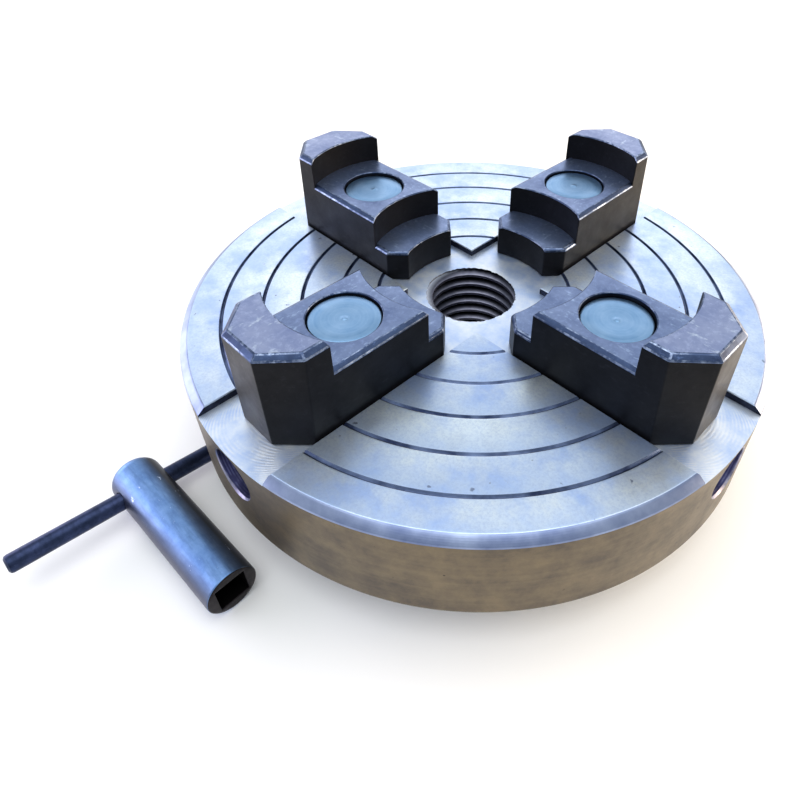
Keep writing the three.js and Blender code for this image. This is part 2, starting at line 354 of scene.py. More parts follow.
def milled_floor():
    """The channel floors: pale milled iron, with the cutter's arcs one after another along the channel."""
    finish = Finish("milled_floor", 0.8, 0.38)
    x, y, _ = finish.axes()
    x = finish.math("ABSOLUTE", x)
    y = finish.math("ABSOLUTE", y)
    along = finish.math("MAXIMUM", x, y)
    across = finish.math("MINIMUM", x, y)
    cutter = (CHANNEL_HALF_WIDTH * 1.06) ** 2
    reach = finish.math("SQRT", finish.math("SUBTRACT", cutter, finish.math("MULTIPLY", across, across)))
    arcs = finish.waves(finish.math("SUBTRACT", along, reach), 0.85 * MM)
    patches = finish.band(finish.noise(7 * MM, 5.0, 0.6), 0.35, 0.68)
    rubbed = finish.band(finish.noise(6 * MM, 5.0, 0.7), 0.42, 0.58)
    outwards = finish.math("MULTIPLY", finish.band(along, 50 * MM, 64 * MM, 0.15, 1.0), rubbed)
    arcs = finish.math("MULTIPLY", arcs, outwards)
    base = finish.mix(patches, (0.50, 0.65, 0.96), (0.86, 0.92, 1.0))
    base = finish.mix(finish.math("MULTIPLY", arcs, 0.4), base, (1.0, 1.0, 1.0))
    finish.colour(base)
    finish.roughness(finish.band(patches, 0, 1, 0.34, 0.44))
    finish.relief(arcs, 0.018 * MM)
    finish.relief(finish.noise(0.4 * MM), 0.008 * MM)
    return finish.done()


def spindle_thread():
    """The thread: rubbed crests, roots darkened as painted shade, and a paler start where it runs out at the
    top, painted as a highlight.
    """
    finish = Finish("spindle_thread", 1.0, 0.36)
    _, _, z = finish.axes()
    depth = finish.band(finish.radius(), THREAD_CREST, THREAD_ROOT)
    grain = finish.noise(1.2 * MM, 4.0, 0.6)
    base = finish.mix(grain, (0.14, 0.15, 0.22), (0.46, 0.47, 0.60))
    # Painted shade: darker towards the thread's roots.
    base = finish.mix(finish.math("POWER", depth, 0.3), base, (0.003, 0.004, 0.009))
    # Painted highlight: a pale band where the thread runs out at the top.
    run_out_painted_highlight = finish.band(z, FLOOR - 1.1 * MM, FLOOR - 0.3 * MM, 0.0, 0.75)
    finish.colour(finish.mix(run_out_painted_highlight, base, (0.66, 0.71, 0.84)))
    finish.relief(grain, 0.02 * MM)
    return finish.done()


def machined_back():
    finish = Finish("machined_back", 1.0, 0.42)
    finish.patches(18 * MM, (0.20, 0.22, 0.26), (0.38, 0.41, 0.47), 5.0, 0.6)
    finish.relief(finish.waves(finish.radius(), 0.6 * MM), 0.005 * MM)
    finish.relief(finish.noise(0.5 * MM), 0.008 * MM)
    return finish.done()


def key_hole_wall():
    """The rim holes' walls: dark with a purple-blue cast, and the drill's scroll as fine rings. Painted shade
    darkens them to near black towards the hole's deep end.
    """
    finish = Finish("key_hole_wall", 1.0, 0.36)
    rings = finish.waves(finish.radius(), 0.6 * MM)
    worn = finish.math("MULTIPLY", rings, finish.band(finish.noise(2 * MM), 0.35, 0.65))
    # Painted shade: the wall goes near black towards the hole's deep end.
    mouth = finish.band(finish.radius(), BODY_RADIUS - 4.6 * MM, BODY_RADIUS - 1.6 * MM)
    base = finish.mix(worn, (0.10, 0.105, 0.24), (0.30, 0.32, 0.58))
    finish.colour(finish.mix(mouth, (0.010, 0.011, 0.022), base))
    finish.relief(rings, 0.007 * MM)
    finish.relief(finish.noise(0.8 * MM), 0.02 * MM)
    return finish.done()


def brighter(colour, times):
    return tuple(min(1.0, times * part) for part in colour)


def oxide(name, dark, light, metallic, rough, gloss=0.5):
    """Black oxide on ground steel: uneven tone, fine grain, faint handling marks. The jaws' copies of it
    differ only by which way each face looks, as painted light and shade.
    """
    finish = Finish(name, metallic, rough)
    finish.shader.inputs["Specular IOR Level"].default_value = gloss
    clouds = finish.band(finish.noise(9 * MM, 5.0, 0.65), 0.32, 0.7)
    rubs = finish.band(finish.noise(1.3 * MM, 5.0, 0.75), 0.50, 0.74)
    base = finish.mix(clouds, dark, light)
    base = finish.mix(finish.math("MULTIPLY", rubs, 0.28), base, brighter(light, 1.9))
    scrapes = finish.band(finish.noise(1.5 * MM, 4.0, 0.7, finish.stretched(0.4, 0.8, 1.0)), 0.60, 0.70)
    base = finish.mix(finish.math("MULTIPLY", scrapes, 0.4), base, brighter(light, 2.4))
    finish.colour(base)
    finish.roughness(finish.band(clouds, 0, 1, rough + 0.08, rough - 0.06))
    finish.relief(finish.noise(0.3 * MM, 3.0, 0.7), 0.006 * MM)
    finish.relief(finish.noise(3 * MM), 0.01 * MM)
    return finish.done()


def worn_edge():
    """Where handling has rubbed the black off an edge, in broken stretches and dots."""
    finish = Finish("worn_edge", 1.0, 0.35)
    stretches = finish.band(finish.noise(7 * MM, 3.0, 0.6), 0.40, 0.64)
    dots = finish.band(finish.noise(1.1 * MM, 4.0, 0.7), 0.40, 0.60)
    wear = finish.math("MULTIPLY", stretches, dots)
    finish.colour(finish.mix(wear, (0.055, 0.08, 0.155), (0.38, 0.46, 0.64)))
    return finish.done()


def turned_head():
    """The posts' faced heads: light blue, with tool rings around the post's own axis."""
    finish = Finish("turned_head", 1.0, 0.34)
    radius = finish.radius()
    patches = finish.band(finish.noise(5 * MM, 5.0, 0.6), 0.3, 0.7)
    rings = finish.noise(0.6 * MM, 2.0, 0.5, finish.node("ShaderNodeCombineXYZ", X=radius).outputs[0])
    base = finish.mix(patches, (0.17, 0.33, 0.56), (0.28, 0.45, 0.68))
    finish.colour(finish.mix(finish.band(rings, 0.35, 0.7, 0.0, 0.3), base, (0.36, 0.54, 0.75)))
    finish.relief(rings, 0.010 * MM)
    finish.relief(finish.noise(1.5 * MM, 4.0, 0.7), 0.012 * MM)
    return finish.done()


def blued_steel(name, dark, light, scratch, painted_side_tones=None):
    """Heat-blued steel, with small bright scratches and faint streaks along X.

    The last argument, if given, holds painted light and shade for the piece's sides: a grey-mauve painted
    reflection on its -Y side and a dark painted shade on its +Y side."""
    finish = Finish(name, 1.0, 0.3)
    clouds = finish.band(finish.noise(7 * MM, 6.0, 0.7), 0.32, 0.68)
    streaks = finish.noise(1.0 * MM, 4.0, 0.6, finish.stretched(0.18, 1.0, 1.0))
    nicks = finish.band(finish.noise(1.6 * MM, 4.0, 0.7, finish.stretched(0.5, 1.0, 1.0)), 0.67, 0.73)
    base = finish.mix(clouds, dark, light)
    base = finish.mix(finish.band(streaks, 0.45, 0.7, 0.0, 0.5), base, brighter(dark, 0.65))
    if painted_side_tones:
        # Painted light and shade by facing: grey-mauve painted reflection on the -Y side, dark painted shade
        # on the +Y side.
        facing = finish.node("ShaderNodeTexCoord").outputs["Normal"]
        side = finish.node("ShaderNodeSeparateXYZ", Vector=facing).outputs["Y"]
        base = finish.mix(finish.band(side, -0.45, -0.95), base, painted_side_tones[0])
        base = finish.mix(finish.band(side, 0.1, 0.7), base, painted_side_tones[1])
    finish.colour(finish.mix(finish.math("MULTIPLY", nicks, scratch), base, (0.62, 0.74, 0.95)))
    finish.roughness(finish.band(clouds, 0, 1, 0.46, 0.36))
    finish.relief(streaks, 0.010 * MM)
    finish.relief(finish.noise(2.5 * MM), 0.03 * MM)
    return finish.done()


# ---- mesh tools

def add_object(name, bm, materials):
    mesh = bpy.data.meshes.new(name)
    bm.to_mesh(mesh)
    bm.free()
    for material in materials:
        mesh.materials.append(material)
    made = bpy.data.objects.new(name, mesh)
    bpy.context.scene.collection.objects.link(made)
    return made


def combine(piece, other, operation):
    """Joins or cuts with another object, which is used up. Its materials come along."""
    modifier = piece.modifiers.new("combine", "BOOLEAN")
    modifier.operation = operation
    modifier.solver = "EXACT"
    modifier.material_mode = "TRANSFER"
    modifier.object = other
    graph = bpy.context.evaluated_depsgraph_get()
    mesh = bpy.data.meshes.new_from_object(piece.evaluated_get(graph))
    piece.modifiers.clear()
    piece.data = mesh
    bpy.data.objects.remove(other)


def smooth(piece, degrees=28):
    """Round surfaces shade smooth and edges sharper than this stay crisp."""
    piece.data.shade_smooth()
    piece.data.set_sharp_from_angle(angle=math.radians(degrees))


def soften(piece, width, worn_slot=None):
    """Rounds every outward edge a little. Edges beside faces that look up take the worn slot's finish."""
    bm = bmesh.new()
    bm.from_mesh(piece.data)
    sharp = math.radians(25)
    edges = [e for e in bm.edges if e.is_manifold and e.calc_face_angle_signed() > sharp]
    made = bmesh.ops.bevel(
        bm,
        geom=edges,
        offset=width,
        segments=2,
        profile=0.5,
        affect="EDGES",
        clamp_overlap=False,
        material=-1,
    )
    bm.normal_update()
    if worn_slot is not None:
        for face in made["faces"]:
            if 0.08 < face.normal.z < 0.985:
                face.material_index = worn_slot
    bm.to_mesh(piece.data)
    bm.free()
    smooth(piece, 50)
    piece.modifiers.new("normals", "WEIGHTED_NORMAL").keep_sharp = True


def merge_flat(piece):
    """Merges faces that lie in one plane, and points that coincide."""
    bm = bmesh.new()
    bm.from_mesh(piece.data)
    bmesh.ops.remove_doubles(bm, verts=bm.verts, dist=WELD_DISTANCE)
    bmesh.ops.dissolve_limit(
        bm,
        angle_limit=math.radians(0.2),
        verts=bm.verts,
        edges=bm.edges,
        delimit={"MATERIAL"},
    )
    bm.to_mesh(piece.data)
    bm.free()


def lathe(name, profile, sides, materials, spans=None):
    """A solid of revolution about Z from closed or axis-to-axis (radius, height) points.

    spans gives each stretch of the profile its material slot."""
    bm = bmesh.new()
    closed = (Vector(profile[0]) - Vector(profile[-1])).length < 1e-9
    points = profile[:-1] if closed else profile
    rings = []
    for radius, height in points:
        if radius < 1e-9:
            rings.append([bm.verts.new((0, 0, height))] * sides)
            continue
        turns = [2 * math.pi * i / sides for i in range(sides)]
        rings.append([bm.verts.new((radius * math.cos(t), radius * math.sin(t), height)) for t in turns])
    count = len(points)
    for k in range(count if closed else count - 1):
        near, far = rings[k], rings[(k + 1) % count]
        for i in range(sides):
            j = (i + 1) % sides
            corners = list(dict.fromkeys([near[i], near[j], far[j], far[i]]))
            if len(corners) > 2:
                face = bm.faces.new(corners)
                face.material_index = spans[k] if spans else 0
    bmesh.ops.recalc_face_normals(bm, faces=bm.faces)
    return add_object(name, bm, materials)


def loft(name, rings, materials):
    """A closed solid through rings of the same number of points."""
    bm = bmesh.new()
    made = [[bm.verts.new(point) for point in ring] for ring in rings]
    for low, high in zip(made, made[1:]):
        for i in range(len(low)):
            j = (i + 1) % len(low)
            bm.faces.new([low[i], low[j], high[j], high[i]])
    bm.faces.new(list(reversed(made[0])))
    bm.faces.new(made[-1])
    bmesh.ops.recalc_face_normals(bm, faces=bm.faces)
    return add_object(name, bm, materials)


def prism(name, outline, low, high, materials):
    return loft(name, [[(x, y, z) for x, y in outline] for z in (low, high)], materials)


def box(name, x, y, z, materials):
    outline = [(x[0], y[0]), (x[1], y[0]), (x[1], y[1]), (x[0], y[1])]
    return prism(name, outline, z[0], z[1], materials)


def arc(centre, radius, start, end, steps):
    """Points from one angle to the other, in degrees."""
    angles = [math.radians(start + (end - start) * i / steps) for i in range(steps + 1)]
    return [(centre[0] + radius * math.cos(a), centre[1] + radius * math.sin(a)) for a in angles]


def square_corners(half):
    return [(half, half), (-half, half), (-half, -half), (half, -half)]


def slot_outline(width):
    steps = 24
    far = arc((POST_FARTHEST, 0), width / 2, -90, 90, steps)
    near = arc((POST_NEAREST, 0), width / 2, 90, 270, steps)
    return far + near


def turn_z(piece, degrees):
    piece.data.transform(Matrix.Rotation(math.radians(degrees), 4, "Z"))
    return piece


def lay_along_x(piece, height=0.0):
    """Turns a piece made about Z so that its axis points along X, at a height."""
    piece.data.transform(Matrix.Translation((0, 0, height)) @ Matrix.Rotation(math.pi / 2, 4, "Y"))
    return piece


def thread_form(turn):
    """How far from crest (0) to root (1) a thread is at a share of its pitch."""
    turn %= 1.0
    if turn < CREST_FLAT:
        return 0.0
    if turn < CREST_FLAT + FLANK:
        return (turn - CREST_FLAT) / FLANK
    if turn < CREST_FLAT + FLANK + ROOT_FLAT:
        return 1.0
    return (1 - turn) / FLANK


def helix_faces(bm, crest, root, pitch, bottom, top, sides, hand=1, slot_index=0, phase=0.0, ragged=None):
    """A helical thread surface about Z between two heights. Returns its lowest and highest rings."""
    root_start = CREST_FLAT + FLANK
    down_flank, up_flank = 0.4, 0.84
    marks = [0.0, CREST_FLAT, down_flank, root_start, root_start + ROOT_FLAT, up_flank]
    first = math.floor((bottom / pitch) - 2)
    last = math.ceil((top / pitch) + 2)
    steps = [k + m for k in range(first, last) for m in marks]

    def point(step, side):
        turn = side / sides
        height = min(max((step + hand * turn + phase) * pitch, bottom), top)
        share = thread_form(height / pitch - hand * turn - phase)
        radius = crest + (root - crest) * share
        angle = 2 * math.pi * turn
        if ragged:
            radius += ragged(angle, height)
        return Vector((radius * math.cos(angle), radius * math.sin(angle), height))

    columns = [[bm.verts.new(point(step, side)) for step in steps] for side in range(sides)]
    shift = hand * len(marks)
    for side in range(sides):
        after = (side + 1) % sides
        offset = shift if after == 0 else 0
        for i in range(len(steps) - 1):
            j = i + offset
            if not 0 <= j < len(steps) - 1:
                continue
            corners = [columns[side][i], columns[side][i + 1], columns[after][j + 1], columns[after][j]]
            bm.faces.new(corners).material_index = slot_index
    return [point(steps[0], side) for side in range(sides)], [point(steps[-1], side) for side in range(sides)]


def ring_faces(bm, inner, outer, slot_index):
    """A band of faces between two rings of points."""
    low = [bm.verts.new(p) for p in inner]
    high = [bm.verts.new(p) for p in outer]
    for i in range(len(low)):
        j = (i + 1) % len(low)
        bm.faces.new([low[i], low[j], high[j], high[i]]).material_index = slot_index


def tube(bm, rings):
    """Faces through rings of points one after another, and across the last."""
    for near, far in zip(rings, rings[1:]):
        ring_faces(bm, near, far, 0)
    bm.faces.new([bm.verts.new(p) for p in rings[-1]])


def circle(radius, height, sides):
    turns = [2 * math.pi * i / sides for i in range(sides)]
    return [Vector((radius * math.cos(t), radius * math.sin(t), height)) for t in turns]


def clean(bm):
    """Joins coinciding points, drops faces with no area, and faces the rest outwards."""
    bmesh.ops.remove_doubles(bm, verts=bm.verts, dist=2 * WELD_DISTANCE)
    bmesh.ops.dissolve_degenerate(bm, edges=bm.edges, dist=0.1 * WELD_DISTANCE)
    bmesh.ops.recalc_face_normals(bm, faces=bm.faces)


# ---- the chuck's body

FACE_SLOT, GROOVE_SLOT, RIM_SLOT, CHAMFER_SLOT, BACK_SLOT, THREAD_SLOT, FLOOR_SLOT = range(7)


def groove_points(radius):
    """One ring groove, from the flat outside its outer lip to the flat inside its inner one."""
    shape = [
        (0.75, 0.0),
        (0.50, 0.0),
        (0.36, 0.06),
        (0.14, 0.42),
        (-0.02, 0.46),
        (-0.16, 0.38),
        (-0.40, 0.08),
        (-0.52, 0.0),
        (-0.75, 0.0),
    ]
    return [(radius + across * MM, FACE - down * MM) for across, down in shape]


# The rim's upper edge: mm in from the rim, mm down from the face, and the slot of the stretch before it.
UPPER_EDGE = [
    (0.0, 2.1, RIM_SLOT),
    (0.0, 1.7, RIM_SLOT),
    (0.15, 1.35, CHAMFER_SLOT),
    (1.6, 0.2, CHAMFER_SLOT),
    (2.1, 0.0, CHAMFER_SLOT),
    (2.4, 0.0, FACE_SLOT),
]


def body_profile():
    """The body's section with each stretch's material slot, anticlockwise from the hub's back face."""
    points = [(SLEEVE_RADIUS + BORE_CHAMFER, 0)]
    slots = []

    def to(radius, height, slot_index):
        points.append((radius, height))
        slots.append(slot_index)

    to(HUB_RADIUS - HUB_CHAMFER, 0, BACK_SLOT)
    to(HUB_RADIUS, HUB_CHAMFER, BACK_SLOT)
    to(HUB_RADIUS, BACK - HUB_CHAMFER, BACK_SLOT)
    to(HUB_RADIUS + 0.25 * MM, BACK - 0.25 * MM, BACK_SLOT)
    to(HUB_RADIUS + HUB_CHAMFER, BACK, BACK_SLOT)
    to(BODY_RADIUS - LOWER_ROUND, BACK, BACK_SLOT)
    for radius, height in arc((BODY_RADIUS - LOWER_ROUND, BACK + LOWER_ROUND), LOWER_ROUND, -67, 0, 3):
        to(radius, height, RIM_SLOT)
    to(BODY_RADIUS, BACK + 1.3 * MM, RIM_SLOT)
    for inwards, down, slot_index in UPPER_EDGE:
        to(BODY_RADIUS - inwards * MM, FACE - down * MM, slot_index)
    for radius in reversed(GROOVE_RADII):
        lips = groove_points(radius)
        for point in lips[:2]:
            to(*point, FACE_SLOT)
        for point in lips[2:-1]:
            to(*point, GROOVE_SLOT)
        to(*lips[-1], FACE_SLOT)
    to(SLEEVE_RADIUS, FACE, FACE_SLOT)
    to(SLEEVE_RADIUS, BORE_CHAMFER, THREAD_SLOT)
    to(SLEEVE_RADIUS + BORE_CHAMFER, 0, BACK_SLOT)
    return points, slots


def station_cutters(hole, lip, pocket, floor, wall, edge):
    """What is cut for the jaw along +X: channel, slot, pocket, key hole, journal and fork seat."""
    beyond = BODY_RADIUS + 3 * MM
    half = CHANNEL_HALF_WIDTH
    slot_end = POST_FARTHEST + SLOT_WIDTH / 2
    slot_start = POST_NEAREST - SLOT_WIDTH / 2
    fork_low, fork_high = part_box("thrust_fork_1")
    channel = [
        (0, -half),
        (beyond, -half),
        (beyond, half),
        (0, half),
    ]
    trench = prism("channel", channel, FLOOR, FACE + 2 * MM, [floor, wall])
    for face in trench.data.polygons:
        face.material_index = 0 if abs(face.normal.z) > 0.5 else 1
    low_edge, high_edge = 1 + 0.02 * MM / half, 1 + 0.45 * MM / half
    bevelled = loft(
        "channel_edge",
        [
            [(x, y * low_edge, FACE - 0.18 * MM) for x, y in channel],
            [(x, y * high_edge, FACE + 0.25 * MM) for x, y in channel],
        ],
        [edge],
    )
    hole_profile = [
        (0, slot_end - 3 * MM),
        (KEY_HOLE_RADIUS, slot_end - 3 * MM),
        (KEY_HOLE_RADIUS, BODY_RADIUS - 0.5 * MM),
        (KEY_HOLE_RADIUS + KEY_HOLE_CHAMFER, BODY_RADIUS + 1.1 * MM),
        (KEY_HOLE_RADIUS + KEY_HOLE_CHAMFER, beyond),
        (0, beyond),
    ]
    key_hole = lathe("key_hole", hole_profile, MEDIUM_SIDES, [hole, lip], [0, 0, 1, 1, 1])
    seat_start = slot_start - 3.2 * MM
    seat_profile = [
        (0, seat_start),
        (JOURNAL_RADIUS + RUNNING_GAP, seat_start),
        (JOURNAL_RADIUS + RUNNING_GAP, slot_start),
        (SCREW_RADIUS + RUNNING_GAP, slot_start),
        (SCREW_RADIUS + RUNNING_GAP, POST_NEAREST),
        (0, POST_NEAREST),
    ]
    return [
        trench,
        bevelled,
        prism("slot", slot_outline(SLOT_WIDTH), POCKET_TOP - 1 * MM, FLOOR + 1 * MM, [pocket]),
        prism("pocket", slot_outline(POCKET_WIDTH), BACK - 1 * MM, POCKET_TOP, [pocket]),
        lay_along_x(key_hole, SCREW_HEIGHT),
        lay_along_x(lathe("screw_seat", seat_profile, SEAT_SIDES, [pocket]), SCREW_HEIGHT),
        box(
            "fork_seat",
            (fork_low.x - RUNNING_GAP, fork_high.x + RUNNING_GAP),
            (fork_low.y - RUNNING_GAP, fork_high.y + RUNNING_GAP),
            (BACK - 1 * MM, fork_high.z + 0.4 * MM),
            [pocket],
        ),
    ]


def ragged_edge(angle, height):
    """The torn top edge of the spindle thread."""
    near_top = max(0.0, 1 - (FLOOR - height) / TORN_BAND)
    spot = Vector((math.cos(angle) * 17, math.sin(angle) * 17, height / MM))
    return near_top * TORN_DEPTH * noise.noise(spot)


def chuck_body(finishes):
    turned = [
        "ground_face",
        "ring_groove",
        "turned_rim",
        "rim_chamfer",
        "machined_back",
        "spindle_thread",
        "milled_floor",
    ]
    cut = ["key_hole_wall", "key_hole_lip", "milled_pocket", "milled_floor", "channel_wall", "ground_face"]
    points, slots = body_profile()
    piece = lathe("chuck_body_detail", points, BODY_SIDES, [finishes[name] for name in turned], slots)
    for degrees in JAWS.values():
        for cutter in station_cutters(*[finishes[name] for name in cut]):
            combine(piece, turn_z(cutter, degrees), "DIFFERENCE")
    add_bore_thread(piece)
    smooth(piece)
    return piece


def add_bore_thread(piece):
    """Replaces the plain bore with the spindle thread, run out at the channel floor and the back chamfer."""
    bm = bmesh.new()
    bm.from_mesh(piece.data)
    limit = SLEEVE_RADIUS + 0.01 * MM
    bore = [f for f in bm.faces if all(math.hypot(v.co.x, v.co.y) < limit for v in f.verts)]
    bmesh.ops.delete(bm, geom=bore, context="FACES")
    low, high = helix_faces(
        bm,
        THREAD_CREST,
        THREAD_ROOT,
        THREAD_PITCH,
        BORE_CHAMFER,
        FLOOR,
        BODY_SIDES,
        slot_index=THREAD_SLOT,
        phase=0.15,
        ragged=ragged_edge,
    )
    ring_faces(bm, circle(SLEEVE_RADIUS, BORE_CHAMFER, BODY_SIDES), low, BACK_SLOT)
    ring_faces(bm, high, circle(SLEEVE_RADIUS, FLOOR, BODY_SIDES), FLOOR_SLOT)
    clean(bm)
    bm.to_mesh(piece.data)
    bm.free()


# ---- the jaws and what moves with them

def jaw_outline(front, half, height, inset, end):
    """The plan of one level of a jaw at a height: concave inner edge, chamfered nose and tail.

    inset draws the straight sides in, for the bevel along the top. end, if any, cuts the level short."""
    half -= inset
    side = JAW_HALF_WIDTH - inset
    centre = front - math.sqrt(GRIP_RADIUS ** 2 - (half + inset) ** 2)
    swing = math.degrees(math.asin(half / GRIP_RADIUS))
    points = arc((centre, 0), GRIP_RADIUS, swing, -swing, GRIP_STEPS)
    shoulder = front + NOSE_CHAMFER - inset * 0.4
    narrow = half + inset < JAW_HALF_WIDTH
    if narrow:
        points.append((shoulder, -side))
    if end:
        points += [(end, -side), (end, side)]
    else:
        share = (height - FLOOR) / (STEPS[2] - FLOOR)
        chamfer = TAIL_CHAMFER_LOW + (TAIL_CHAMFER_HIGH - TAIL_CHAMFER_LOW) * share - inset * 0.3
        tail = TAIL_HALF_WIDTH - inset * 0.3
        outer_end = JAW_LENGTH - inset
        points += [(chamfer, -side), (outer_end, -tail), (outer_end, tail), (chamfer, side)]
    if narrow:
        points.append((shoulder, side))
    return points


def jaw_level(name, front, half, top, bevel, drop, end, materials):
    """One level of a jaw, its top edge chamfered bevel across and drop down."""
    rings = []
    for height, inset in ((JAW_BASE, 0), (top - drop, 0), (top, bevel)):
        rings.append([(x, y, height) for x, y in jaw_outline(front, half, height, inset, end)])
    return loft(name, rings, materials)


def rod_profile(radius, low, high):
    """The section of a plain round rod about Z."""
    return [(0, low), (radius, low), (radius, high), (0, high)]


SIDE, TOP, STEP, CHAMFER, END, WORN = range(6)


def jaw(number, finishes):
    """A stepped jaw in its own frame: X outwards from its inner end."""
    # These finishes by facing are painted light and shade: shaded sides, steps, chamfers and holes, lit tops,
    # and a warm painted reflection on the outer end.
    names = ["oxide_side_painted_shade", "oxide_top_painted_light", "oxide_step_painted_shade", "oxide_chamfer_painted_shade", "oxide_end_painted_warm_reflection", "worn_edge"]
    materials = [finishes[name] for name in names]
    piece, middle, nose = [jaw_level(name, *shape, materials) for name, shape in JAW_LEVELS.items()]
    combine(piece, middle, "UNION")
    combine(piece, nose, "UNION")
    head_hole = rod_profile(HEAD_HOLE_RADIUS, HEAD_SEAT, STEPS[1] + 1 * MM)
    shank_hole = rod_profile(SHANK_HOLE_RADIUS, JAW_BASE - 1 * MM, HEAD_SEAT + 1 * MM)
    for profile in (head_hole, shank_hole):
        cutter = lathe("jaw_hole", profile, LARGE_SIDES, [finishes["oxide_hole_painted_shade"]])
        cutter.data.transform(Matrix.Translation((POST_OFFSET, 0, 0)))
        combine(piece, cutter, "DIFFERENCE")
    merge_flat(piece)
    finish_jaw_faces(piece)
    piece.name = f"jaw_{number}_detail"
    soften(piece, JAW_EDGE_WEAR, WORN)
    return piece


def finish_jaw_faces(piece):
    """Sorts the jaw's outside faces into tops, steps, bevels and outer end by where they look, so each takes
    its painted light or shade: painted light on the tall tops, painted shade on the steps, bevels and sides,
    and a painted warm reflection on the outer end.
    """
    for face in piece.data.polygons:
        if face.material_index != SIDE:
            continue
        if face.normal.z > 0.95:
            face.material_index = TOP if face.center.z > STEPS[1] + 1 * MM else STEP
        elif face.normal.z > 0.3:
            face.material_index = CHAMFER
        elif face.normal.x > 0.9:
            face.material_index = END


def post_profile(top, base, shank_base, stud_end):
    """The post's section: stud end, shank, and a faced head with a small centre nub."""
    return [
        (0, stud_end),
        (STUD_RADIUS - 0.8 * MM, stud_end),
        (STUD_RADIUS, stud_end + 0.8 * MM),
        (STUD_RADIUS, shank_base),
        (SHANK_RADIUS - 0.3 * MM, shank_base),
        (SHANK_RADIUS, shank_base + 0.3 * MM),
        (SHANK_RADIUS, base),
        (HEAD_RADIUS, base),
        (HEAD_RADIUS, top - 0.5 * MM),
        (HEAD_RADIUS - 0.15 * MM, top - 0.15 * MM),
        (HEAD_RADIUS - 0.5 * MM, top),
        (5.2 * MM, top - 0.05 * MM),
        (2.6 * MM, top - 0.03 * MM),
        (1.0 * MM, top - 0.12 * MM),
        (0.75 * MM, top - 0.1 * MM),
        (0.45 * MM, top + 0.05 * MM),
        (0, top + 0.08 * MM),
    ]


def jaw_post(number, finishes):
    low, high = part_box(f"jaw_post_{number}")
    steel = finishes["oiled_steel"]
    profile = post_profile(high.z, HEAD_SEAT + 0.1 * MM, POCKET_TOP + 0.1 * MM, low.z)
    below_head = profile.index((HEAD_RADIUS, HEAD_SEAT + 0.1 * MM)) - 1
    spans = [1] * below_head + [0] * (len(profile) - 1 - below_head)
    piece = lathe(f"jaw_post_{number}_detail", profile, LARGE_SIDES, [finishes["turned_head"], steel], spans)
    reach = SHANK_RADIUS + 2 * MM
    cross = lathe("cross_hole", rod_profile(SCREW_RADIUS + RUNNING_GAP, -reach, reach), SMALL_SIDES, [steel])
    combine(piece, lay_along_x(cross, SCREW_HEIGHT), "DIFFERENCE")
    smooth(piece)
    return piece


def clamp_washer(number, finishes):
    low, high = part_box("clamp_washer_1")
    outer = (high.x - low.x) / 2
    cut = 0.25 * MM
    profile = [
        (STUD_HOLE_RADIUS, low.z),
        (outer - cut, low.z),
        (outer, low.z + cut),
        (outer, high.z - cut),
        (outer - cut, high.z),
        (STUD_HOLE_RADIUS, high.z),
        (STUD_HOLE_RADIUS, low.z),
    ]
    piece = lathe(f"clamp_washer_{number}_detail", profile, MEDIUM_SIDES, [finishes["oiled_steel"]])
    smooth(piece)
    return piece


def clamp_nut(number, finishes):
    low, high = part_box("clamp_nut_1")
    corner = NUT_HALF_WIDTH / math.cos(math.pi / 6)
    angles = [math.radians(30 + 60 * i) for i in range(6)]
    hexagon = [(corner * math.cos(a), corner * math.sin(a)) for a in angles]
    steel = finishes["oiled_steel"]
    piece = prism(f"clamp_nut_{number}_detail", hexagon, low.z, high.z, [steel])
    cone_end = corner - 1.5 * NUT_CHAMFER
    beyond = corner + 0.2 * MM
    turned = [
        (0, low.z),
        (cone_end, low.z),
        (beyond, low.z + NUT_CHAMFER),
        (beyond, high.z - NUT_CHAMFER),
        (cone_end, high.z),
        (0, high.z),
    ]
    combine(piece, lathe("nut_chamfer", turned, NUT_SIDES, [steel]), "INTERSECT")
    mouth = STUD_HOLE_RADIUS + 1.6 * MM
    hole = [
        (0, low.z - 1 * MM),
        (mouth, low.z - 1 * MM),
        (STUD_HOLE_RADIUS, low.z + 0.5 * MM),
        (STUD_HOLE_RADIUS, high.z - 0.5 * MM),
        (mouth, high.z + 1 * MM),
        (0, high.z + 1 * MM),
    ]
    combine(piece, lathe("nut_hole", hole, SMALL_SIDES, [steel]), "DIFFERENCE")
    smooth(piece)
    return piece


# ---- the lead screws and their forks

